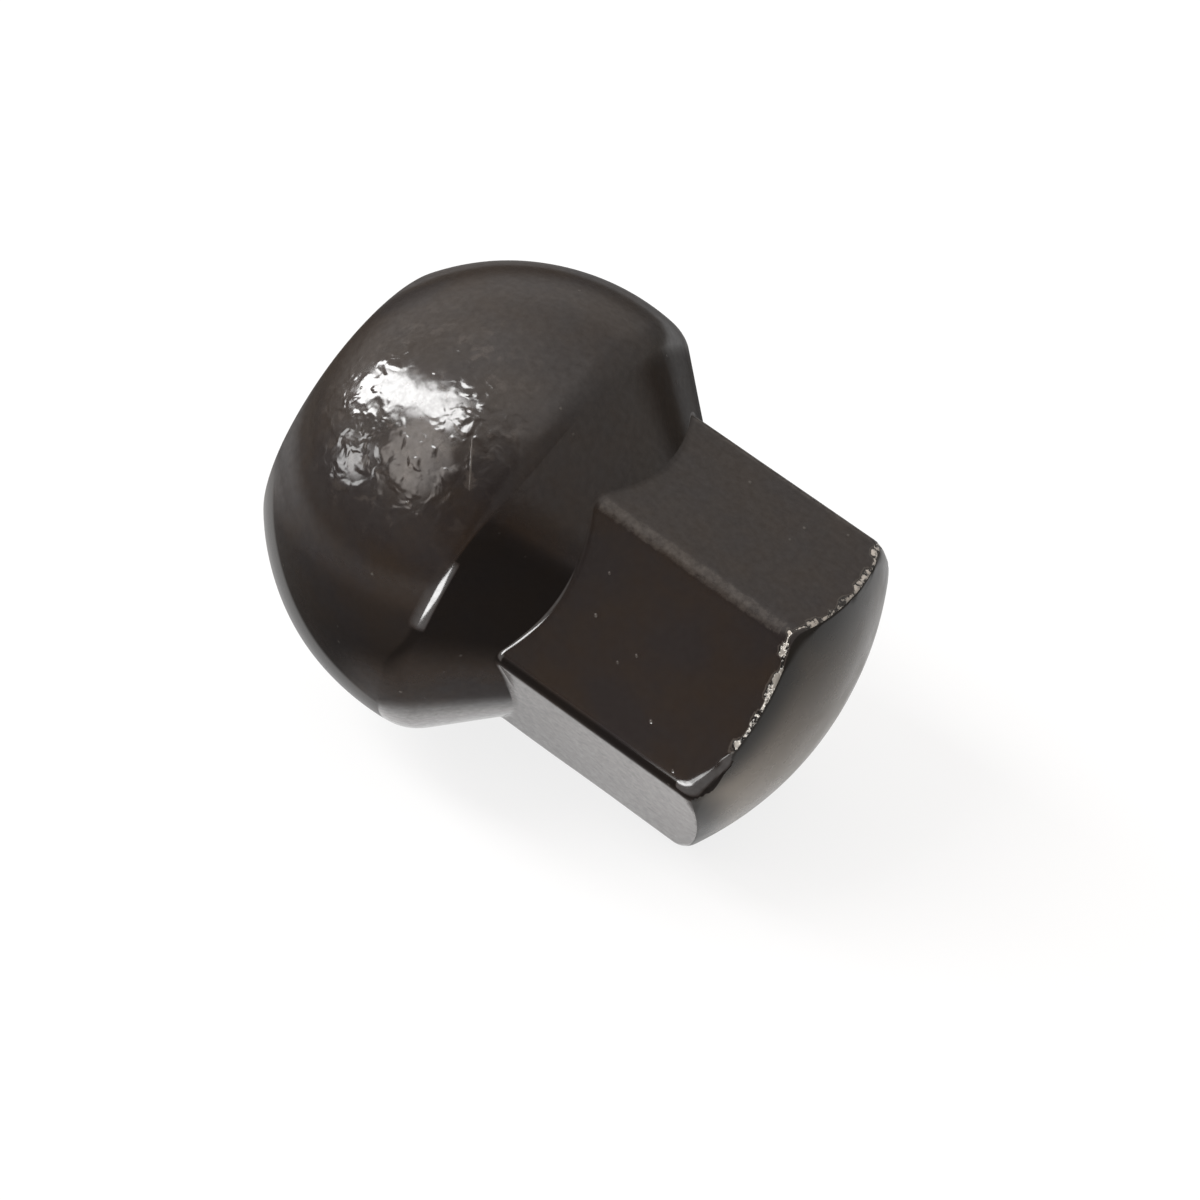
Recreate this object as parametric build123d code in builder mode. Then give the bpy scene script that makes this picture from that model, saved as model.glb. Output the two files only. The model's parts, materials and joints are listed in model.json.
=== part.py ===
from build123d import *
import os
from math import asin, atan2, cos, hypot, radians, sin, sqrt, tan

# A closed-end wheel nut, forged as one piece of steel, then turned on its seat
# and tapped from that end. Along its axis it is a truncated ball, which seats in
# the wheel, then a conical neck, then a hexagon that ends in a crown.
#
# It lies as it comes to rest, on its ball and on the crowned edge of one flat, so
# its axis dips towards the crown. X runs from the open end to the closed end and
# Z is up. The origin is at table height, under the middle of the overall box.
# Sizes are in millimetres and degrees. Offsets are taken along the nut's axis
# from the ball's centre, positive towards the crown.

# Ball seat, cut off by a flat face at the open end
ball_radius = 13.0
seat_face_diameter = 16.4
seat_edge_radius = 0.6

# Shoulder, where the ball turns into the neck
shoulder_offset = 2.3
shoulder_edge_radius = 0.8
neck_half_angle = 43.0
neck_root_radius = 0.4

# Hexagon and crown
across_flats = 17.0
hexagon_corner_radius = 1.2
crown_tip_offset = 20.3
crown_radius = 20.5
crown_edge_radius = 0.3

# Blind hole for an M12 x 1.5 stud, left here at the size of its tap drill
tap_drill_diameter = 10.5
drill_point_angle = 118.0
crown_wall = 3.2
mouth_chamfer = 1.0

# Where the round between the lowest flat and the crown has its centre, at mid flat
crown_centre_offset = crown_tip_offset - crown_radius
edge_centre_radius = across_flats / 2 - crown_edge_radius
edge_centre_offset = crown_centre_offset + sqrt(
    (crown_radius - crown_edge_radius) ** 2 - edge_centre_radius**2
)

# The dip that brings both the ball and that round down to the table
edge_centre_distance = hypot(edge_centre_offset, edge_centre_radius)
edge_centre_angle = atan2(edge_centre_radius, edge_centre_offset)
dip = asin((ball_radius - crown_edge_radius) / edge_centre_distance) - edge_centre_angle

# Corners of the turned outline and of the hole in it, as offset and radius
seat_corner = (-sqrt(ball_radius**2 - (seat_face_diameter / 2) ** 2), seat_face_diameter / 2)
shoulder_corner = (shoulder_offset, sqrt(ball_radius**2 - shoulder_offset**2))
bore_radius = tap_drill_diameter / 2
bore_mouth = (seat_corner[0], bore_radius)
drill_point = (crown_tip_offset - crown_wall, 0)
bore_end = (drill_point[0] - bore_radius / tan(radians(drill_point_angle / 2)), bore_radius)
neck_length = (shoulder_corner[1] - bore_radius) / tan(radians(neck_half_angle))
neck_end = (shoulder_offset + neck_length, bore_radius)

# How far the nut reaches from the ball's centre along X: back to the lower side of
# the seat face's rounded edge, and forward to the crown
seat_edge_centre_offset = seat_corner[0] + seat_edge_radius
seat_edge_centre_radius = sqrt((ball_radius - seat_edge_radius) ** 2 - seat_edge_centre_offset**2)
reach_back = (
    seat_edge_centre_radius * sin(dip) - seat_edge_centre_offset * cos(dip) + seat_edge_radius
)
reach_forward = crown_centre_offset * cos(dip) + crown_radius

# The nut's own planes: one along its axis, for turned outlines, and one across it
ball_centre = Vector((reach_back - reach_forward) / 2, 0, ball_radius)
axis_direction = Vector(cos(dip), 0, -sin(dip))
along_axis = Plane(ball_centre, x_dir=axis_direction, z_dir=(0, -1, 0))
across_axis = Plane(ball_centre, x_dir=(0, 1, 0), z_dir=axis_direction)
nut_axis = Axis(ball_centre, axis_direction)
crown_centre = ball_centre + crown_centre_offset * axis_direction

with BuildPart() as lug_nut:
    # Hexagon bar, crowned at the closed end, with a round along the crown's edge
    with BuildSketch(across_axis):
        RegularPolygon(across_flats / 2, 6, major_radius=False)
        fillet(vertices(), hexagon_corner_radius)
    extrude(amount=crown_tip_offset)
    with Locations(crown_centre):
        Sphere(crown_radius, mode=Mode.INTERSECT)
    crown = faces().sort_by(nut_axis)[-1]
    fillet(crown.edges(), crown_edge_radius)

    # Ball, shoulder and neck, which runs on inside the hexagon as far as the bore
    with BuildSketch(along_axis):
        with BuildLine():
            Polyline(neck_end, (neck_end[0], 0), (seat_corner[0], 0), seat_corner)
            RadiusArc(seat_corner, shoulder_corner, ball_radius)
            Line(shoulder_corner, neck_end)
        make_face()
        fillet(vertices().sort_by_distance(seat_corner)[0], seat_edge_radius)
        fillet(vertices().sort_by_distance(shoulder_corner)[0], shoulder_edge_radius)
    revolve(axis=nut_axis)
    fillet(edges(Select.NEW), neck_root_radius)

    # Drilled hole, with the cone of the drill's point and a chamfered mouth
    with BuildSketch(along_axis):
        with BuildLine():
            Polyline((seat_corner[0], 0), bore_mouth, bore_end, drill_point, close=True)
        make_face()
    revolve(axis=nut_axis, mode=Mode.SUBTRACT)
    mouth_edge = edges().group_by(nut_axis)[0].sort_by(SortBy.RADIUS)[0]
    chamfer(mouth_edge, mouth_chamfer)

os.makedirs("parts", exist_ok=True)
lug_nut.part.label = "lug_nut"
export_step(lug_nut.part, "parts/lug_nut.step")
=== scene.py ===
import json
import math

import bmesh
import bpy
from mathutils import Matrix, Vector, noise


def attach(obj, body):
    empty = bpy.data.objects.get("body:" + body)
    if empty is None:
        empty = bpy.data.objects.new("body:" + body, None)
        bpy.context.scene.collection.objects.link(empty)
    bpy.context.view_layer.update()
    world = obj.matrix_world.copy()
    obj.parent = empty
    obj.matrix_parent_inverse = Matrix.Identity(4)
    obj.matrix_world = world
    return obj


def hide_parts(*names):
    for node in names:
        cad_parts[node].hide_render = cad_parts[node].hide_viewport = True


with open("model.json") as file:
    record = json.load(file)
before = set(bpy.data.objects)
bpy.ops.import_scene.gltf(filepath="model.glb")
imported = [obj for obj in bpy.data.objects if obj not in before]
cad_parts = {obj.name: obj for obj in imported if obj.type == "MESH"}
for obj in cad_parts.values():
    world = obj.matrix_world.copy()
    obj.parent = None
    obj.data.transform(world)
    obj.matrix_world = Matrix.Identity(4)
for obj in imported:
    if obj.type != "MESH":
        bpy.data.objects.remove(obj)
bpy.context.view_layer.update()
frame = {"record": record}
scene = bpy.context.scene
scene.view_settings.view_transform = "Standard"

# ---------------------------------------------------------------------- camera
# A long lens stands a hand's width in front and to the right of the nut, looks down
# on it, and is turned a few degrees about its own line of sight.

VIEW_AZIMUTH, VIEW_ELEVATION, VIEW_ROLL = 27.186, 36.818, 6.395
VIEW_DISTANCE = 0.15720
VIEW_CENTRE = Vector((0.00222, -0.00101, 0.01044))


def direction(azimuth, elevation):
    """The way to a place seen from the nut: azimuth from the front towards the right."""
    turn = math.radians(azimuth)
    rise = math.radians(elevation)
    level = math.cos(rise)
    return Vector((math.sin(turn) * level, -math.cos(turn) * level, math.sin(rise)))


def facing(back, roll=0.0):
    """A rotation whose Z axis is back, with X level before the roll."""
    side = Vector((0, 0, 1)).cross(back).normalized()
    turned = Matrix((side, back.cross(side), back)).transposed()
    return turned @ Matrix.Rotation(math.radians(roll), 3, "Z")


camera = bpy.data.objects.new("camera", bpy.data.cameras.new("camera"))
camera.data.sensor_width = 36.0
camera.data.lens = 90.0
camera.data.clip_start = 0.01
towards_camera = direction(VIEW_AZIMUTH, VIEW_ELEVATION)
camera.matrix_world = (
    Matrix.Translation(VIEW_CENTRE + VIEW_DISTANCE * towards_camera)
    @ facing(towards_camera, VIEW_ROLL).to_4x4()
)
scene.collection.objects.link(camera)
scene.camera = camera

# ------------------------------------------------------------------------- nut
# A wheel nut with a ball seat, forged in one piece from round steel bar: the ball is
# upset, the neck runs down as a cone, and the hexagon is pressed on. A blind hole is
# drilled and tapped through the flat of the ball.

# It is made standing on its open end, in millimetres from the ball's centre with Z
# towards the crown, and is laid in its place once it is whole.
MM = 0.001
mounts = {mount["name"]: mount for mount in frame["record"]["mounts"]}
ball_centre = Vector(mounts["ball_seat"]["pos_m"])
nut_axis = -Vector(mounts["ball_seat"]["axis"])
level_axis = Vector((0, 1, 0))
laid_down = Matrix((level_axis.cross(nut_axis), level_axis, nut_axis)).transposed()
UP = laid_down.inverted() @ Vector((0, 0, 1))

BALL_RADIUS = 13.0
SEAT_FACE_RADIUS = 8.2
SEAT_EDGE_ROUND = 0.6
SHOULDER_OFFSET = 2.3
SHOULDER_ROUND, SOFT_SHOULDER_ROUND = 0.8, 2.6
NECK_HALF_ANGLE = math.radians(43)
NECK_ROOT_ROUND = 0.4
ACROSS_FLATS = 17.0
CORNER_ROUND = 1.2
CROWN_TIP = 20.55
CROWN_RADIUS = 18.25
CROWN_EDGE_ROUND, CROWN_CORNER_ROUND = 0.3, 1.3
TAP_DRILL_RADIUS = 5.25
MOUTH_CHAMFER = 1.0

# one stretch of the crown's edge, at this angle round the nut in degrees, is filled with
# paint
FILLED_TURN, FILLED_ROUND = 262.0, 0.6
FILLED_REACH, FILLED_FULL = 12.0, 5.0

SEAT_OFFSET = -math.sqrt(BALL_RADIUS ** 2 - SEAT_FACE_RADIUS ** 2)
MOUTH_RADIUS = TAP_DRILL_RADIUS + MOUTH_CHAMFER
QUARTER_TURN = math.radians(90)
SIDES = 6
SIDE_TURN = 2 * math.pi / SIDES

# columns round the nut, crowded towards its corners, and points up its half section
COLUMNS, COLUMN_CROWDING = 420, 0.5
SEAT_POINTS, RIM_POINTS, BALL_POINTS, SHOULDER_POINTS, NECK_POINTS = 8, 6, 62, 8, 26
ROOT_POINTS, HEXAGON_POINTS, EDGE_POINTS, CROWN_POINTS = 5, 40, 8, 30


def smooth_step(low, high, value):
    """0 at low and before it, 1 at high and past it, and a smooth climb between."""
    t = min(1.0, max(0.0, (value - low) / (high - low)))
    return t * t * (3 - 2 * t)


def off_flat(turn):
    """The angle from the middle of the nearest flat."""
    return abs((turn + SIDE_TURN / 2) % SIDE_TURN - SIDE_TURN / 2)


def off_filled(turn):
    """Degrees from the middle of the stretch where paint fills the crown's edge."""
    return abs(math.degrees(turn) % 360 - FILLED_TURN)


def hexagon_radius(turn):
    """How far the hexagon's skin is from the axis."""
    turn = off_flat(turn)
    half = ACROSS_FLATS / 2
    corner_reach = (half - CORNER_ROUND) / math.cos(SIDE_TURN / 2)
    flat_end = math.atan2(corner_reach * math.sin(SIDE_TURN / 2), half)
    if turn <= flat_end:
        return half / math.cos(turn)
    off_corner = SIDE_TURN / 2 - turn
    across = corner_reach * math.sin(off_corner)
    return corner_reach * math.cos(off_corner) + math.sqrt(CORNER_ROUND ** 2 - across ** 2)


def crown_edge_round(turn):
    """The crown's edge is small along a flat and fuller where a corner of the hexagon ends."""
    fuller = smooth_step(0.6, 1.0, off_flat(turn) / (SIDE_TURN / 2))
    filled = smooth_step(FILLED_REACH, FILLED_FULL, off_filled(turn))
    edge_round = CROWN_EDGE_ROUND + fuller * (CROWN_CORNER_ROUND - CROWN_EDGE_ROUND)
    return edge_round + filled * FILLED_ROUND


def shoulder_round(turn):
    """The shoulder is crisp in front, and softer on the sides that lie above and below."""
    soft = smooth_step(0.5, 0.85, -math.cos(turn)) + smooth_step(-0.1, 0.15, math.cos(turn))
    return SHOULDER_ROUND + soft * (SOFT_SHOULDER_ROUND - SHOULDER_ROUND)


def straight(start, end, count, crowding=0.7):
    """Points from start up to end, closer together at both ends."""
    for i in range(count):
        t = i / count
        yield start.lerp(end, t - crowding * math.sin(2 * math.pi * t) / (2 * math.pi))


def arc(centre, radius, start, end, count, crowding=0.0):
    """Points along an arc from one angle up to another, crowded at the start if asked."""
    for i in range(count):
        t = (i / count) ** (1 + crowding)
        angle = start + (end - start) * t
        yield centre + radius * Vector((math.cos(angle), math.sin(angle)))


def half_section(turn):
    """The nut's outline at an angle round the axis, as (along, out) from the ball's centre."""
    skin = hexagon_radius(turn)
    # the flat of the ball, with a round between it and the ball
    rim_along = SEAT_OFFSET + SEAT_EDGE_ROUND
    rim = Vector((rim_along, math.sqrt((BALL_RADIUS - SEAT_EDGE_ROUND) ** 2 - rim_along ** 2)))
    rim_turn = math.atan2(rim.y, rim.x)
    # the neck's cone starts at the shoulder on the ball
    shoulder = Vector((SHOULDER_OFFSET, math.sqrt(BALL_RADIUS ** 2 - SHOULDER_OFFSET ** 2)))
    off_cone = Vector((math.sin(NECK_HALF_ANGLE), math.cos(NECK_HALF_ANGLE)))
    down_cone = Vector((off_cone.y, -off_cone.x))
    cone_reach = off_cone.dot(shoulder)
    cone_turn = math.atan2(off_cone.y, off_cone.x)
    soft = shoulder_round(turn)
    hub_reach = cone_reach - soft
    hub_back = math.sqrt((BALL_RADIUS - soft) ** 2 - hub_reach ** 2)
    hub = off_cone * hub_reach - down_cone * hub_back
    hub_turn = math.atan2(hub.y, hub.x)
    # the cone meets the hexagon in a small hollow
    hollow_out = skin + NECK_ROOT_ROUND
    hollow_along = (cone_reach + NECK_ROOT_ROUND - off_cone.y * hollow_out) / off_cone.x
    hollow = Vector((hollow_along, hollow_out))
    hollow_turn = cone_turn - 2 * QUARTER_TURN
    # the hexagon ends in a round edge against the crown
    crown = Vector((CROWN_TIP - CROWN_RADIUS, 0))
    edge_round = crown_edge_round(turn)
    edge_out = skin - edge_round
    edge_reach = CROWN_RADIUS - edge_round
    edge = crown + Vector((math.sqrt(edge_reach ** 2 - edge_out ** 2), edge_out))
    edge_turn = math.atan2(edge_out, edge.x - crown.x)
    return [
        *straight(Vector((SEAT_OFFSET, MOUTH_RADIUS)), Vector((SEAT_OFFSET, rim.y)), SEAT_POINTS),
        *arc(rim, SEAT_EDGE_ROUND, 2 * QUARTER_TURN, rim_turn, RIM_POINTS),
        *arc(Vector((0, 0)), BALL_RADIUS, rim_turn, hub_turn, BALL_POINTS),
        *arc(hub, soft, hub_turn, cone_turn, SHOULDER_POINTS),
        *straight(hub + soft * off_cone, hollow - NECK_ROOT_ROUND * off_cone, NECK_POINTS),
        *arc(hollow, NECK_ROOT_ROUND, hollow_turn, -QUARTER_TURN, ROOT_POINTS),
        *straight(Vector((hollow.x, skin)), Vector((edge.x, skin)), HEXAGON_POINTS),
        *arc(edge, edge_round, QUARTER_TURN, edge_turn, EDGE_POINTS),
        *arc(crown, CROWN_RADIUS, edge_turn, 0, CROWN_POINTS, crowding=0.4),
        Vector((CROWN_TIP, 0)),
    ]


# the section on the middle of a flat is spun, then each column takes its own section
nut = bmesh.new()
row = nut.verts.layers.int.new("row")
chain = []
for number, point in enumerate(half_section(0)):
    chain.append(nut.verts.new((point.y, 0, point.x)))
    chain[-1][row] = number
for start, end in zip(chain, chain[1:]):
    nut.edges.new((start, end))
bmesh.ops.spin(
    nut, geom=nut.verts[:] + nut.edges[:], cent=(0, 0, 0), axis=(0, 0, 1),
    angle=2 * math.pi, steps=COLUMNS, use_merge=True, use_duplicate=False,
)
bmesh.ops.remove_doubles(nut, verts=nut.verts[:], dist=1e-5)
sections = {}
for vert in nut.verts:
    even = math.atan2(vert.co.y, vert.co.x)
    column = round(even / (2 * math.pi) * COLUMNS) % COLUMNS
    if column not in sections:
        even = column * 2 * math.pi / COLUMNS
        turn = even + COLUMN_CROWDING / SIDES * math.sin(SIDES * even)
        sections[column] = turn, half_section(turn)
    turn, section = sections[column]
    point = section[vert[row]]
    vert.co = point.y * math.cos(turn), point.y * math.sin(turn), point.x
bmesh.ops.recalc_face_normals(nut, faces=nut.faces[:])

# The forged skin isn't quite true: it dips by a few hundredths of a millimetre, most
# where the paint has run thick on the ball, and the crown's edge is knocked and chipped.
SKIN_DIP, SKIN_WAVE = 0.05, 5.0
RUN_DIP, RUN_WAVE = 0.028, 0.95
RUN_CENTRE, RUN_REACH = Vector((-9.2, -7.9, -3.7)), 8.0
POOL_CENTRE, POOL_REACH = Vector((-9.9, -7.4, -4.2)), 2.7
KNOCK_DEPTH, KNOCK_WAVE = 0.05, 0.9
CHIP_REACH, WIDE_CHIP_REACH, CHIP_SPACING = 0.17, 0.54, 0.85
SCUFF_HALF_WIDTH, SCUFF_STRENGTH = 4.0, 0.4
BEAD_TURN = -106

# the rows of points that each stretch of the half section has, counted from the mouth
SHOULDER_START = SEAT_POINTS + RIM_POINTS + BALL_POINTS
ROOT_START = SHOULDER_START + SHOULDER_POINTS + NECK_POINTS
HEXAGON_START = ROOT_START + ROOT_POINTS
EDGE_START = HEXAGON_START + HEXAGON_POINTS
SHOULDER_ROWS = SHOULDER_START, SHOULDER_START + SHOULDER_POINTS
ROOT_ROWS = ROOT_START, HEXAGON_START
EDGE_ROWS = EDGE_START, EDGE_START + EDGE_POINTS - 1


def dip(point, wave, seed):
    """Between 0 and 1, smooth at the size of wave."""
    return 0.5 + 0.5 * noise.noise(point / wave + Vector((seed, 0, 0)))


def within(number, rows, blend):
    """1 on these rows, down to 0 a few rows either side."""
    low, high = rows
    return smooth_step(low - blend, low, number) * smooth_step(high + blend, high, number)


def ball_gloss(number, rise):
    """Level on top of the ball and dull underneath, apart from near the shoulder."""
    top = 0.76 * smooth_step(0.08, 0.42, rise)
    under = 0.1 * smooth_step(0.2, -0.2, rise)
    near_shoulder = 0.25 * within(number, SHOULDER_ROWS, 16) * smooth_step(-0.1, -0.3, rise)
    return top - under + near_shoulder


def neck_gloss(number, rise, turn):
    """Level on top of the neck, duller at its back, thin on its sides and thick below, where past
    1 it paints a grey reflection of the floor on the underside.
    """
    in_front = smooth_step(-165, -150, turn) * (turn < 0)
    behind = smooth_step(-177, -190, turn if turn < 0 else turn - 360)
    behind *= 1 - within(number, SHOULDER_ROWS, 8)
    top = (0.84 - 0.6 * behind) * smooth_step(0.24, 0.36, rise)
    side = 0.14 * smooth_step(0.32, 0.2, rise)
    crisp = within(number, SHOULDER_ROWS, 1) * in_front
    crisp *= smooth_step(0.7, 0.6, rise) * smooth_step(0.25, 0.4, rise)
    under = 0.25 * smooth_step(-0.1, -0.3, rise) + 1.8 * smooth_step(-0.42, -0.6, rise)
    return top - side - 0.35 * crisp + under


def hexagon_gloss(number, rise):
    """Level on the upper flats, thin on the steep ones, and thick below, where past 1 it paints a
    grey reflection of the floor on the lower flats.
    """
    top = 0.76 * smooth_step(0.2, 0.45, rise)
    under = smooth_step(-0.3, -0.45, rise)
    under *= 2.0 - 0.25 * smooth_step(150, 120, number)
    steep = 0.14 * smooth_step(0.3, 0.1, abs(rise))
    return top - steep + under


def wet_paint(number, rise, turn):
    """How level the paint dried: 0 is dull and 1 is a full gloss; from 1.2 up to 2 the colour
    also takes a painted grey reflection of the floor, and below 0.1 a painted shade.
    """
    if number < SHOULDER_START:
        gloss = ball_gloss(number, rise)
    elif number < ROOT_START:
        gloss = neck_gloss(number, rise, turn)
    else:
        gloss = hexagon_gloss(number, rise)
    # beads of it dried glossy at the shoulder, in the neck's root and on the crown's edge
    bead = within(number, SHOULDER_ROWS, 2) * smooth_step(10, 8, abs(turn - BEAD_TURN))
    fine = within(number, ROOT_ROWS, 1) + within(number, EDGE_ROWS, 1)
    fine *= smooth_step(-0.1, 0.0, rise) * smooth_step(0.3, 0.22, rise)
    return gloss + min(1.0, bead + fine) * (1.0 - gloss)


nut.normal_update()
wear = nut.verts.layers.float.new("edge_wear")
thick = nut.verts.layers.float.new("paint_run")
gloss_and_painted_light = nut.verts.layers.float.new("gloss")
edge_shade_fade_layer = nut.verts.layers.float.new("painted_edge_shade_fade")
pooled = nut.verts.layers.float.new("pooled")
moves = []
for vert in nut.verts:
    point = vert.co
    turn = math.atan2(point.y, point.x)
    rise = vert.normal.dot(UP)
    vert[gloss_and_painted_light] = wet_paint(vert[row], rise, math.degrees(turn))
    vert[thick] = smooth_step(RUN_REACH, 0.45 * RUN_REACH, (point - RUN_CENTRE).length)
    vert[pooled] = smooth_step(POOL_REACH, 0.5 * POOL_REACH, (point - POOL_CENTRE).length)
    if HEXAGON_START < vert[row] < EDGE_START - 1:
        off_corner = math.degrees(SIDE_TURN / 2 - off_flat(turn))
        scuffed = smooth_step(SCUFF_HALF_WIDTH, 1.5, off_corner) * smooth_step(0.2, 0.5, rise)
        vert[wear] = SCUFF_STRENGTH * scuffed
    if vert[row] >= EDGE_START - 8:
        section = half_section(turn)
        off_edge = (section[vert[row]] - section[EDGE_START + 2]).length
        unfilled = 1 - smooth_step(FILLED_REACH + 1, FILLED_FULL + 3, off_filled(turn))
        wider = smooth_step(0.42, 0.62, dip(point, CHIP_SPACING, 9.2))
        reach = CHIP_REACH + wider * (WIDE_CHIP_REACH - CHIP_REACH)
        chipped = smooth_step(reach, 0.4 * reach, off_edge) * smooth_step(-0.3, 0.0, rise)
        # the crown is painted darker next to its edge, fading out over 3 mm of it: painted shade
        vert[edge_shade_fade_layer] = smooth_step(0.3, 3.0, off_edge)
        vert[wear] = max(vert[wear], chipped) * unfilled
    skin_dip = SKIN_DIP * dip(point, SKIN_WAVE, 3.1)
    run_dip = RUN_DIP * (dip(point, RUN_WAVE, 7.7) + 0.5 * dip(point, RUN_WAVE / 2, 1.3))
    knock = max(0.0, 2 * vert[wear] - 1) * max(0.0, dip(point, KNOCK_WAVE, 5.5) - 0.4)
    depth = skin_dip + vert[thick] * run_dip + 2 * KNOCK_DEPTH * knock
    moves.append(vert.normal * depth)
for vert, move in zip(nut.verts, moves):
    vert.co -= move

# The thread: M12 x 1.5, tapped right-handed down to short of the drill's shoulder. One
# pitch of it is spun up a helix, the mouth's chamfer cuts its first turn and it fades
# out where the tap ended.
PITCH = 1.5
THREAD_RADIUS = 6.0
THREAD_DEPTH = THREAD_RADIUS - TAP_DRILL_RADIUS
FLANK = THREAD_DEPTH * math.tan(math.radians(30))
ROOT_FLAT = PITCH / 8
CREST_FLAT = PITCH - 2 * FLANK - ROOT_FLAT
THREAD_STEPS = 72
THREAD_END, THREAD_FADE = 10.5, 2.5
DRILL_POINT = 17.1
BORE_END = DRILL_POINT - TAP_DRILL_RADIUS / math.tan(math.radians(118 / 2))

bore = bmesh.new()
thread_start = SEAT_OFFSET - PITCH - 0.1
flank_start, flank_end = CREST_FLAT, CREST_FLAT + FLANK
back_start = flank_end + ROOT_FLAT
tooth = [
    bore.verts.new((TAP_DRILL_RADIUS + deep * THREAD_DEPTH, 0, thread_start + climb))
    for climb, deep in (
        (0, 0), (flank_start, 0), (flank_start + FLANK / 2, 0.5), (flank_end, 1),
        (back_start, 1), (back_start + FLANK / 2, 0.5), (PITCH, 0),
    )
]
for low, high in zip(tooth, tooth[1:]):
    bore.edges.new((low, high))
turns = math.ceil((BORE_END - thread_start) / PITCH) + 1
bmesh.ops.spin(
    bore, geom=bore.verts[:] + bore.edges[:], cent=(0, 0, 0), axis=(0, 0, 1),
    dvec=(0, 0, PITCH / THREAD_STEPS), angle=2 * math.pi * turns, steps=THREAD_STEPS * turns,
    use_merge=False, use_duplicate=False,
)
bmesh.ops.remove_doubles(bore, verts=bore.verts[:], dist=1e-3)
for vert in bore.verts:
    along = vert.co.z
    out = math.hypot(vert.co.x, vert.co.y)
    kept = min(1.0, max(0.0, (THREAD_END - along) / THREAD_FADE + 0.5))
    faded = TAP_DRILL_RADIUS + (out - TAP_DRILL_RADIUS) * kept
    chamfer = MOUTH_RADIUS - (along - SEAT_OFFSET)
    vert.co.xy *= max(faded, chamfer) / out
for level, way in ((SEAT_OFFSET, -1), (BORE_END, 1)):
    bmesh.ops.bisect_plane(
        bore, geom=bore.verts[:] + bore.edges[:] + bore.faces[:], dist=1e-4,
        plane_co=(0, 0, level), plane_no=(0, 0, way), clear_outer=True,
    )

# the cone that the drill's point leaves, and the flat between the bore and the ball
drill_edge = [
    edge for edge in bore.edges
    if edge.is_boundary and min(vert.co.z for vert in edge.verts) > BORE_END - 0.01
]
cone = bmesh.ops.extrude_edge_only(bore, edges=drill_edge)["geom"]
cone_verts = [part for part in cone if isinstance(part, bmesh.types.BMVert)]
bmesh.ops.pointmerge(bore, verts=cone_verts, merge_co=(0, 0, DRILL_POINT))
bore_mesh = bpy.data.meshes.new("bore")
bore.to_mesh(bore_mesh)
nut.from_mesh(bore_mesh)
bpy.data.meshes.remove(bore_mesh)
bmesh.ops.bridge_loops(nut, edges=[edge for edge in nut.edges if edge.is_boundary])
bmesh.ops.recalc_face_normals(nut, faces=nut.faces[:])

# the crown has its own paint, which starts part of the way round its edge
CROWN_PAINT_ROW = EDGE_START + 4
for face in nut.faces:
    first = face.verts[0]
    first_turn = math.atan2(first.co.y, first.co.x)
    in_bore = max(vert.co.z for vert in face.verts) < BORE_END + 0.01
    face.smooth = in_bore or first[row] > 0
    held_back = smooth_step(FILLED_REACH, FILLED_FULL, off_filled(first_turn))
    lowest_row = min(vert[row] for vert in face.verts)
    face.material_index = lowest_row >= CROWN_PAINT_ROW + round(5 * held_back)
placed = Matrix.Translation(ball_centre) @ laid_down.to_4x4() @ Matrix.Scale(MM, 4)
bmesh.ops.transform(nut, matrix=placed, verts=nut.verts[:])
nut_mesh = bpy.data.meshes.new("forged_nut")
nut.to_mesh(nut_mesh)
nut_mesh.set_sharp_from_angle(angle=math.radians(35))
forged_nut = bpy.data.objects.new("forged_nut", nut_mesh)
scene.collection.objects.link(forged_nut)
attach(forged_nut, "root")
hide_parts("lug_nut")


def linear(hexcode):
    """An sRGB hex colour as linear red, green, blue and alpha."""
    parts = [int(hexcode[i:i + 2], 16) / 255 for i in (1, 3, 5)]
    return [p / 12.92 if p <= 0.04045 else ((p + 0.055) / 1.055) ** 2.4 for p in parts] + [1.0]


def add(tree, kind, inputs, **settings):
    """A new node: each input takes a value, a socket, or a node's first output that is in use."""
    made = tree.nodes.new(kind)
    for name, value in settings.items():
        setattr(made, name, value)
    for socket, value in inputs.items():
        if isinstance(value, bpy.types.Node):
            value = next(output for output in value.outputs if output.enabled)
        if isinstance(value, bpy.types.NodeSocket):
            tree.links.new(value, made.inputs[socket])
        else:
            made.inputs[socket].default_value = value
    return made


# Black gloss paint, sprayed thick over a forged skin: it gives near-black with a brown
# cast, and a soft-edged mirror wherever it pooled and dried level.
PATCH_SIZE = 5.0 * MM
NIB_SPACING, NIB_HEIGHT = 0.9 * MM, 0.03 * MM
MOTTLE_AND_SHEEN_SIZE = 0.75 * MM
GRIT_SIZE = 0.36 * MM
SPECK_SIZE = 0.5 * MM
PEEL_SIZE, PEEL_HEIGHT = 0.7 * MM, 0.012 * MM
BLISTER_SIZE, BLISTER_HEIGHT = 0.85 * MM, 0.034 * MM
SCRATCH_CENTRE = Vector((-1.5, -9.05, 21.9)) * MM
SCRATCH_WAY = Vector((0.374, -0.59, -0.718))
SCRATCH_SIZE = Vector((1.45, 0.055, 1.5)) * MM
UNDERSIDE = Vector((-0.35, -0.3, -0.85))

paint = bpy.data.materials.new("black_gloss_paint_on_forged_steel")
paint.use_nodes = True
tree = paint.node_tree
texture_place = add(tree, "ShaderNodeTexCoord", {})
place = texture_place.outputs["Object"]
normal = texture_place.outputs["Normal"]
run_here = add(tree, "ShaderNodeAttribute", {}, attribute_name="paint_run").outputs["Fac"]
pool_here = add(tree, "ShaderNodeAttribute", {}, attribute_name="pooled").outputs["Fac"]
wear_here = add(tree, "ShaderNodeAttribute", {}, attribute_name="edge_wear").outputs["Fac"]
gloss_and_painted_light_here = add(tree, "ShaderNodeAttribute", {}, attribute_name="gloss").outputs["Fac"]

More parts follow.
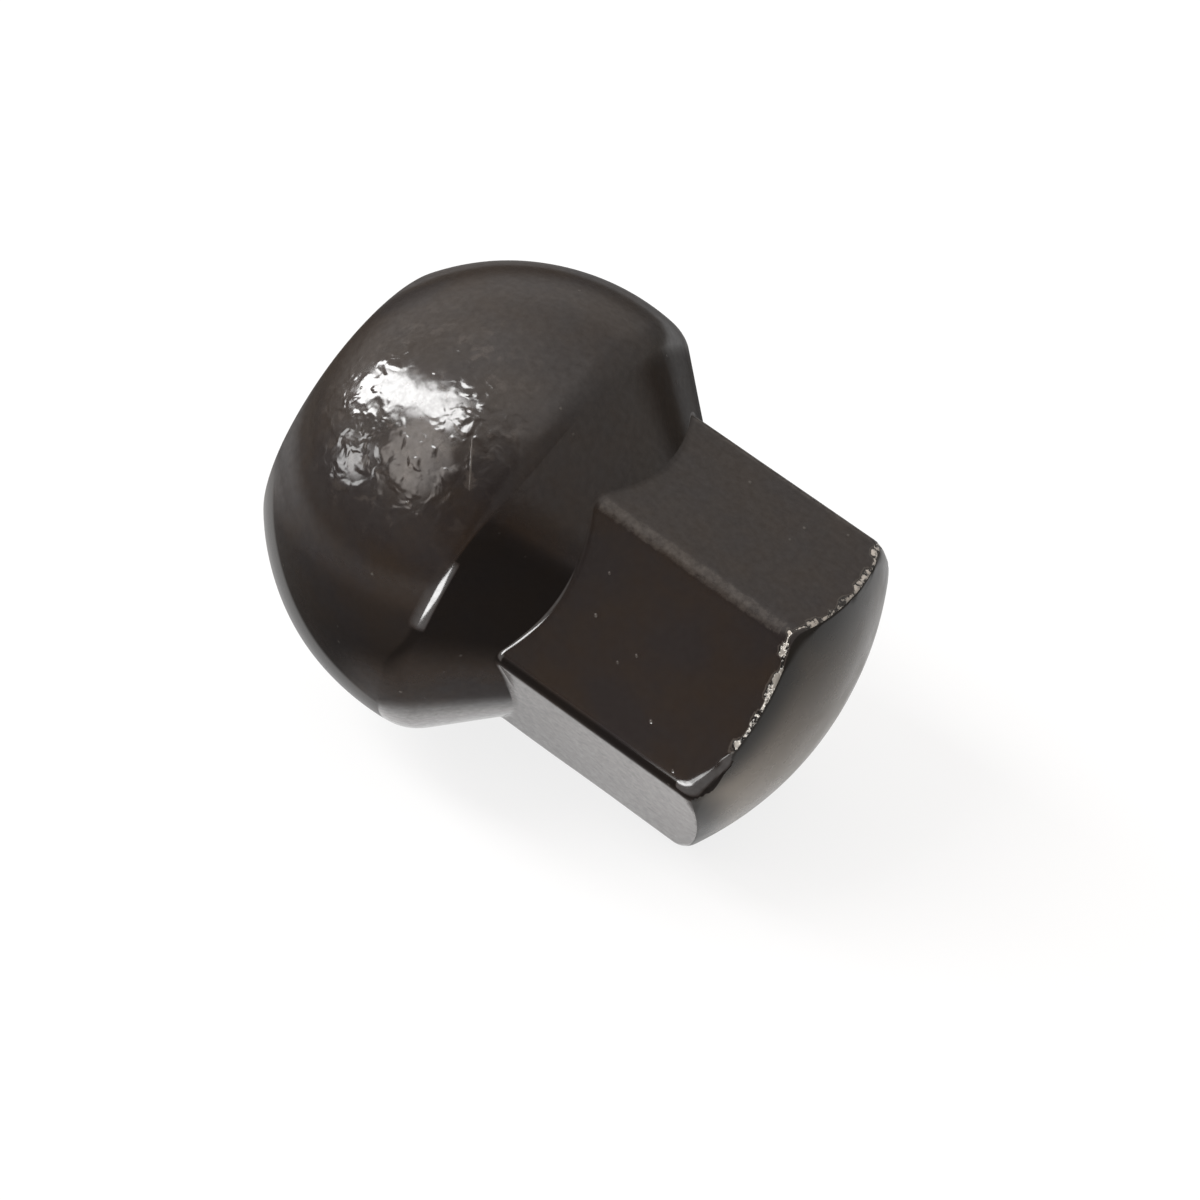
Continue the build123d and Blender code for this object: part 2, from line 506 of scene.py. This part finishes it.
# the black is warmer in some patches than in others. A colour mix takes its two colours
# on sockets 6 and 7.
patches = add(tree, "ShaderNodeTexNoise", {
    "Vector": place, "Scale": 1 / PATCH_SIZE, "Detail": 5.0, "Roughness": 0.65,
})
warmth = add(tree, "ShaderNodeMapRange", {"Value": patches, "From Min": 0.4, "From Max": 0.6})
colour = add(tree, "ShaderNodeMix", {
    "Factor": warmth, 6: linear("#1d150f"), 7: linear("#191413"),
}, data_type="RGBA")

# dust caught in the wet paint: nibs about 0.15 mm across and 2 mm apart
nibs = add(tree, "ShaderNodeTexVoronoi", {"Vector": place, "Scale": 1 / NIB_SPACING})
nib = add(tree, "ShaderNodeMapRange", {"Value": nibs, "From Min": 0.12, "From Max": 0.05})
lot = add(tree, "ShaderNodeSeparateColor", {"Color": nibs.outputs["Color"]})
chosen = add(tree, "ShaderNodeMath", {0: lot, 1: 0.84}, operation="GREATER_THAN")
nib = add(tree, "ShaderNodeMath", {0: nib, 1: chosen}, operation="MULTIPLY")
colour = add(tree, "ShaderNodeMix", {
    "Factor": nib, 6: colour, 7: linear("#3c3834"),
}, data_type="RGBA")

# one long scratch in the thick paint, raised at its lips; its line is painted light grey, a
# painted highlight along it
scored = add(tree, "ShaderNodeMapping", {
    "Vector": place, "Location": SCRATCH_CENTRE,
    "Rotation": SCRATCH_WAY.to_track_quat("X", "Z").to_euler(), "Scale": SCRATCH_SIZE,
}, vector_type="TEXTURE")
scored = add(tree, "ShaderNodeVectorMath", {0: scored}, operation="LENGTH")
scratch_and_painted_highlight = add(tree, "ShaderNodeMapRange", {"Value": scored, "From Min": 1.0, "From Max": 0.5})
colour = add(tree, "ShaderNodeMix", {
    "Factor": scratch_and_painted_highlight, 6: colour, 7: linear("#3f3a36"),
}, data_type="RGBA")

# the thick run dried mottled, and between the blisters it is painted a lighter brown-grey: a
# painted sheen that spreads the highlight
mottle_and_painted_sheen = add(tree, "ShaderNodeTexNoise", {
    "Vector": place, "Scale": 1 / MOTTLE_AND_SHEEN_SIZE, "Detail": 3.0, "Distortion": 0.4,
})
mottle_and_painted_sheen = add(tree, "ShaderNodeMapRange", {
    "Value": mottle_and_painted_sheen, "From Min": 0.56, "From Max": 0.7, "To Max": 0.6,
}, interpolation_type="SMOOTHSTEP")
mottle_and_painted_sheen = add(tree, "ShaderNodeMath", {0: mottle_and_painted_sheen, 1: run_here}, operation="MULTIPLY")
colour = add(tree, "ShaderNodeMix", {
    "Factor": mottle_and_painted_sheen, 6: colour, 7: linear("#38322e"),
}, data_type="RGBA")

# scuffs along the hexagon's corners
grit = add(tree, "ShaderNodeTexNoise", {
    "Vector": place, "Scale": 1 / GRIT_SIZE, "Detail": 4.0, "Roughness": 0.65,
})
worn = add(tree, "ShaderNodeMath", {0: wear_here, 1: grit}, operation="MULTIPLY")
scuff = add(tree, "ShaderNodeMapRange", {
    "Value": worn, "From Min": 0.12, "From Max": 0.29, "To Max": 0.3,
})
colour = add(tree, "ShaderNodeMix", {
    "Factor": scuff, 6: colour, 7: linear("#5e5852"),
}, data_type="RGBA")

# the colour is painted deepest black where the gloss is low, on the ball's and neck's sides and
# undersides: painted shade. Past a gloss of 1.2 it turns grey, broken up by specks: a painted
# reflection of the white floor on the lower faces
painted_shade_where_dull = add(tree, "ShaderNodeMapRange", {"Value": gloss_and_painted_light_here, "From Min": -0.2, "From Max": 0.1})
colour = add(tree, "ShaderNodeMix", {
    "Factor": painted_shade_where_dull, 6: linear("#0d0b0a"), 7: colour,
}, data_type="RGBA")
specks = add(tree, "ShaderNodeTexNoise", {
    "Vector": place, "Scale": 1 / SPECK_SIZE, "Detail": 2.0,
})
specks = add(tree, "ShaderNodeMapRange", {
    "Value": specks, "From Min": 0.6, "From Max": 0.66, "To Min": 1.0, "To Max": 0.5,
})
bloom_and_painted_reflection = add(tree, "ShaderNodeMapRange", {"Value": gloss_and_painted_light_here, "From Min": 1.2, "From Max": 2.0})
bloom_and_painted_reflection = add(tree, "ShaderNodeMath", {0: bloom_and_painted_reflection, 1: specks}, operation="MULTIPLY")
colour = add(tree, "ShaderNodeMix", {
    "Factor": bloom_and_painted_reflection, 6: colour, 7: linear("#545150"),
}, data_type="RGBA")

# chips on the crown's edge down to bare steel, each with a dark lip
lip = add(tree, "ShaderNodeMapRange", {"Value": worn, "From Min": 0.3, "From Max": 0.38})
colour = add(tree, "ShaderNodeMix", {
    "Factor": lip, 6: colour, 7: linear("#0d0b0a"),
}, data_type="RGBA")
steel = add(tree, "ShaderNodeMix", {
    "Factor": warmth, 6: linear("#8f8a83"), 7: linear("#d2cdc5"),
}, data_type="RGBA")
bare = add(tree, "ShaderNodeMapRange", {"Value": worn, "From Min": 0.45, "From Max": 0.54})
colour = add(tree, "ShaderNodeMix", {"Factor": bare, 6: colour, 7: steel}, data_type="RGBA")

# how wet each place dried: duller where it is skimmed, but not along the underside
skim = add(tree, "ShaderNodeLayerWeight", {"Blend": 0.5}).outputs["Facing"]
duller = add(tree, "ShaderNodeMapRange", {
    "Value": skim, "From Min": 0.5, "From Max": 0.85, "To Min": 1.0, "To Max": 0.2,
})
lower = add(tree, "ShaderNodeVectorMath", {0: normal, 1: UNDERSIDE}, operation="DOT_PRODUCT")
lower = add(tree, "ShaderNodeMapRange", {
    "Value": lower, "From Min": 0.08, "From Max": 0.28,
}, interpolation_type="SMOOTHSTEP")
duller = add(tree, "ShaderNodeMath", {0: duller, 1: lower}, operation="MAXIMUM")
wet = add(tree, "ShaderNodeMath", {0: run_here, 1: 0.3, 2: gloss_and_painted_light_here}, operation="MULTIPLY_ADD")
wet = add(tree, "ShaderNodeMapRange", {"Value": wet, "From Min": -0.2})
grain = add(tree, "ShaderNodeMapRange", {
    "Value": grit, "From Min": 0.3, "From Max": 0.7, "To Min": 0.85, "To Max": 1.15,
})
wet = add(tree, "ShaderNodeMath", {0: wet, 1: grain}, operation="MULTIPLY")
wet = add(tree, "ShaderNodeMath", {0: wet, 1: duller}, operation="MULTIPLY")

# the long low glance that runs along the ball's lower edge
glance = add(tree, "ShaderNodeMapRange", {
    "Value": skim, "From Min": 0.69, "From Max": 0.74, "To Max": 0.5,
}, interpolation_type="SMOOTHSTEP")
glance = add(tree, "ShaderNodeMath", {0: glance, 1: lower}, operation="MULTIPLY")
wet = add(tree, "ShaderNodeMath", {0: wet, 1: glance}, operation="MAXIMUM")

# orange peel all over, and blisters and pits where the paint ran thick, less in its pool
peel = add(tree, "ShaderNodeTexNoise", {"Vector": place, "Scale": 1 / PEEL_SIZE, "Detail": 1.0})
relief = add(tree, "ShaderNodeBump", {
    "Strength": 0.25, "Distance": PEEL_HEIGHT, "Height": peel,
})
blister = add(tree, "ShaderNodeTexNoise", {
    "Vector": place, "Scale": 1 / BLISTER_SIZE, "Detail": 1.5, "Distortion": 0.3,
})
blister = add(tree, "ShaderNodeMapRange", {
    "Value": blister, "From Min": 0.4, "From Max": 0.78,
}, interpolation_type="SMOOTHSTEP")
rough_run = add(tree, "ShaderNodeMath", {0: 0.85, 1: pool_here}, operation="MULTIPLY")
rough_run = add(tree, "ShaderNodeMath", {
    0: run_here, 1: rough_run,
}, operation="SUBTRACT", use_clamp=True)
blister = add(tree, "ShaderNodeMath", {0: blister, 1: rough_run}, operation="MULTIPLY")
relief = add(tree, "ShaderNodeBump", {
    "Strength": 1.0, "Distance": BLISTER_HEIGHT, "Height": blister, "Normal": relief,
})

# nibs and the scratch's lips stand proud, and chips are sunk
proud = add(tree, "ShaderNodeMath", {0: nib, 1: bare}, operation="SUBTRACT")
proud = add(tree, "ShaderNodeMath", {0: proud, 1: scratch_and_painted_highlight}, operation="ADD")
relief = add(tree, "ShaderNodeBump", {
    "Strength": 0.6, "Distance": NIB_HEIGHT, "Height": proud, "Normal": relief,
})

tree.nodes.remove(tree.nodes["Principled BSDF"])
shader = add(tree, "ShaderNodeBsdfPrincipled", {
    "Base Color": colour, "Metallic": bare, "Roughness": 0.38, "IOR": 1.5,
    "Specular IOR Level": 0.0, "Coat Weight": wet, "Coat Roughness": 0.14, "Coat IOR": 1.6,
    "Normal": relief, "Coat Normal": relief,
})
tree.links.new(shader.outputs["BSDF"], tree.nodes["Material Output"].inputs["Surface"])
nut_mesh.materials.append(paint)

# The crown's paint is worn by sockets and hands to a satin, with a faint grey bloom: it takes a
# broad soft light and no mirror. It is painted darker next to its edge, a painted shade, and
# lighter towards its underside, a painted reflection of the floor.
RUBBED_PATCH_SIZE = 2.5 * MM

satin = bpy.data.materials.new("rubbed_black_paint_on_crown")
satin.use_nodes = True
tree = satin.node_tree
texture_place = add(tree, "ShaderNodeTexCoord", {})
patches = add(tree, "ShaderNodeTexNoise", {
    "Vector": texture_place.outputs["Object"], "Scale": 1 / RUBBED_PATCH_SIZE, "Detail": 4.0,
})
bloom_and_painted_reflection = add(tree, "ShaderNodeMapRange", {"Value": patches, "From Min": 0.35, "From Max": 0.65})
colour = add(tree, "ShaderNodeMix", {
    "Factor": bloom_and_painted_reflection, 6: linear("#2e2820"), 7: linear("#3a332a"),
}, data_type="RGBA")
# the crown is painted lighter towards its underside: a painted reflection of the white floor
under = add(tree, "ShaderNodeSeparateXYZ", {"Vector": texture_place.outputs["Normal"]})
under = add(tree, "ShaderNodeMapRange", {
    "Value": under.outputs["Z"], "From Min": 0.08, "From Max": -0.3,
})
colour = add(tree, "ShaderNodeMix", {
    "Factor": under, 6: colour, 7: linear("#655f57"),
}, data_type="RGBA")
# next to the crown's edge the colour is painted darker: painted shade
edge_shade_fade_here = add(tree, "ShaderNodeAttribute", {}, attribute_name="painted_edge_shade_fade").outputs["Fac"]
colour = add(tree, "ShaderNodeMix", {
    "Factor": edge_shade_fade_here, 6: linear("#14110e"), 7: colour,
}, data_type="RGBA")
rough = add(tree, "ShaderNodeMapRange", {
    "Value": patches, "From Min": 0.35, "From Max": 0.65, "To Min": 0.24, "To Max": 0.34,
})
tree.nodes.remove(tree.nodes["Principled BSDF"])
shader = add(tree, "ShaderNodeBsdfPrincipled", {
    "Base Color": colour, "Roughness": rough, "IOR": 1.5, "Specular IOR Level": 0.2,
})
tree.links.new(shader.outputs["BSDF"], tree.nodes["Material Output"].inputs["Surface"])
nut_mesh.materials.append(satin)

# ----------------------------------------------------------------------- floor
# A wide sheet of matt white paper, laid flat. It is white round the nut and keeps the nut's soft
# shadow; further away its colour is painted grey, a painted falloff of the light.
FLOOR_HALF_SIZE = 3.0
LIT_CENTRE = Vector((-0.0135, 0.0300, 0.0))
LIT_TURN = math.radians(32)
LIT_SIZE = Vector((0.050, 0.078, 1.0))
GLOW_SHARE = 0.82

sheet = bmesh.new()
bmesh.ops.create_grid(sheet, x_segments=1, y_segments=1, size=FLOOR_HALF_SIZE)
floor_mesh = bpy.data.meshes.new("floor")
sheet.to_mesh(floor_mesh)
floor = bpy.data.objects.new("floor", floor_mesh)
scene.collection.objects.link(floor)

# Matt white paper: it gives white with no gloss and a soft grey in the shadow; away from the nut
# its colour is painted down to grey, a painted falloff of the light.
paper = bpy.data.materials.new("matt_white_paper")
paper.use_nodes = True
tree = paper.node_tree
tree.nodes.remove(tree.nodes["Principled BSDF"])
texture_place = add(tree, "ShaderNodeTexCoord", {})
spread = add(tree, "ShaderNodeMapping", {
    "Vector": texture_place.outputs["Object"], "Location": LIT_CENTRE,
    "Rotation": (0, 0, LIT_TURN), "Scale": LIT_SIZE,
}, vector_type="TEXTURE")
spread = add(tree, "ShaderNodeVectorMath", {0: spread}, operation="ABSOLUTE")
spread = add(tree, "ShaderNodeSeparateXYZ", {"Vector": spread})
far = add(tree, "ShaderNodeMath", {
    0: spread.outputs["X"], 1: spread.outputs["Y"], 2: 0.1,
}, operation="SMOOTH_MAX")
far = add(tree, "ShaderNodeMapRange", {
    "Value": far, "From Min": 1.0, "From Max": 2.6,
}, interpolation_type="SMOOTHSTEP")
tone = add(tree, "ShaderNodeMix", {
    "Factor": far, 6: linear("#e6e6e6"), 7: linear("#999590"),
}, data_type="RGBA")
matt = add(tree, "ShaderNodeBsdfDiffuse", {"Color": tone})

# the camera and reflections see mostly the paper's own plain white, painted grey far from the
# nut, and for the rest how it is lit, with the nut's shadow on it
glow_tone = add(tree, "ShaderNodeMix", {
    "Factor": far, 6: linear("#ffffff"), 7: linear("#999590"),
}, data_type="RGBA")
glow = add(tree, "ShaderNodeEmission", {"Strength": 1.0, "Color": glow_tone})
path = add(tree, "ShaderNodeLightPath", {})
seen = add(tree, "ShaderNodeMath", {
    0: path.outputs["Is Camera Ray"], 1: path.outputs["Is Glossy Ray"],
}, operation="MAXIMUM")
seen = add(tree, "ShaderNodeMath", {
    0: seen, 1: path.outputs["Is Transmission Ray"],
}, operation="MAXIMUM")
share = add(tree, "ShaderNodeMath", {0: seen, 1: GLOW_SHARE}, operation="MULTIPLY")
both = add(tree, "ShaderNodeMixShader", {0: share, 1: matt, 2: glow})
tree.links.new(both.outputs["Shader"], tree.nodes["Material Output"].inputs["Surface"])
floor_mesh.materials.append(paper)

# ----------------------------------------------------------------------- light
# A tall window's worth of soft light high on the left, and a pale room that is
# brightest overhead and behind, and dim on the camera's side.
ROOM_TINT = (1, 0.935, 0.885, 1)
LEFT_WALL = Vector((-0.86, 0.5, 0))
RIGHT_WALL = Vector((0.93, 0.36, 0))
DOORWAY = direction(-33, 38)
CAMERA_SIDE = direction(20, 36)

world = bpy.data.worlds.new("studio")
scene.world = world
world.use_nodes = True
tree = world.node_tree
way = add(tree, "ShaderNodeTexCoord", {}).outputs["Generated"]
height = add(tree, "ShaderNodeSeparateXYZ", {"Vector": way}).outputs["Z"]
room = add(tree, "ShaderNodeMath", {0: height, 1: 0.55, 2: 0.32}, operation="MULTIPLY_ADD")
left = add(tree, "ShaderNodeVectorMath", {0: way, 1: LEFT_WALL}, operation="DOT_PRODUCT")
left = add(tree, "ShaderNodeMapRange", {
    "Value": left, "From Min": 0.2, "From Max": 0.95, "To Max": 0.35,
}, interpolation_type="SMOOTHSTEP")
raised = add(tree, "ShaderNodeMapRange", {
    "Value": height, "From Min": 0.0, "From Max": 0.3,
}, interpolation_type="SMOOTHSTEP")
left = add(tree, "ShaderNodeMath", {0: left, 1: raised}, operation="MULTIPLY")
room = add(tree, "ShaderNodeMath", {0: room, 1: left}, operation="ADD")
ceiling = add(tree, "ShaderNodeMapRange", {
    "Value": height, "From Min": 0.6, "From Max": 1.0, "To Max": 0.35,
}, interpolation_type="SMOOTHSTEP")
room = add(tree, "ShaderNodeMath", {0: room, 1: ceiling}, operation="ADD")
right = add(tree, "ShaderNodeVectorMath", {0: way, 1: RIGHT_WALL}, operation="DOT_PRODUCT")
right = add(tree, "ShaderNodeMapRange", {
    "Value": right, "From Min": 0.5, "From Max": 0.95, "To Max": 0.14,
}, interpolation_type="SMOOTHSTEP")
room = add(tree, "ShaderNodeMath", {0: room, 1: right}, operation="ADD")
door = add(tree, "ShaderNodeVectorMath", {0: way, 1: DOORWAY}, operation="DOT_PRODUCT")
door = add(tree, "ShaderNodeMapRange", {
    "Value": door, "From Min": 0.95, "From Max": 0.985, "To Max": 2.8,
}, interpolation_type="SMOOTHSTEP")
room = add(tree, "ShaderNodeMath", {0: room, 1: door}, operation="ADD")
dim = add(tree, "ShaderNodeVectorMath", {0: way, 1: CAMERA_SIDE}, operation="DOT_PRODUCT")
dim = add(tree, "ShaderNodeMapRange", {
    "Value": dim, "From Min": 0.75, "From Max": 0.97, "To Min": 1.0, "To Max": 0.4,
}, interpolation_type="SMOOTHSTEP")
room = add(tree, "ShaderNodeMath", {0: room, 1: dim}, operation="MULTIPLY")
tree.links.new(room.outputs["Value"], tree.nodes["Background"].inputs["Strength"])
tree.nodes["Background"].inputs["Color"].default_value = ROOM_TINT


def area_light(name, place, back, lean, wide, high, radiance):
    """A rectangular light, wide by high in metres, that shines away from its back."""
    data = bpy.data.lights.new(name, "AREA")
    data.shape = "RECTANGLE"
    data.size = wide
    data.size_y = high
    data.energy = radiance * math.pi * wide * high
    light = bpy.data.objects.new(name, data)
    light.matrix_world = Matrix.Translation(place) @ facing(back, lean).to_4x4()
    scene.collection.objects.link(light)
    return light


def window(name, azimuth, elevation, lean, wide, high, radiance, distance=0.5):
    """A light that faces the nut, as wide and high as it looks from there in degrees."""
    way = direction(azimuth, elevation)
    wide, high = (2 * distance * math.tan(math.radians(angle / 2)) for angle in (wide, high))
    area_light(name, ball_centre + distance * way, way, lean, wide, high, radiance)


window("window", azimuth=-69.7, elevation=45.6, lean=52, wide=56, high=13, radiance=16.0)
window("low_window", azimuth=-60, elevation=16.5, lean=30, wide=15, high=12, radiance=6.0)

# a small light near the floor in front shines up at the nut's lowest flat, which mirrors
# it as a bright strip
strip = area_light(
    "edge_strip", place=Vector((0.0166, -0.0432, 0.0043)),
    back=Vector((0.125, -0.267, -0.955)).normalized(), lean=0.0,
    wide=0.020, high=0.026, radiance=15.0,
)
strip.visible_camera = False
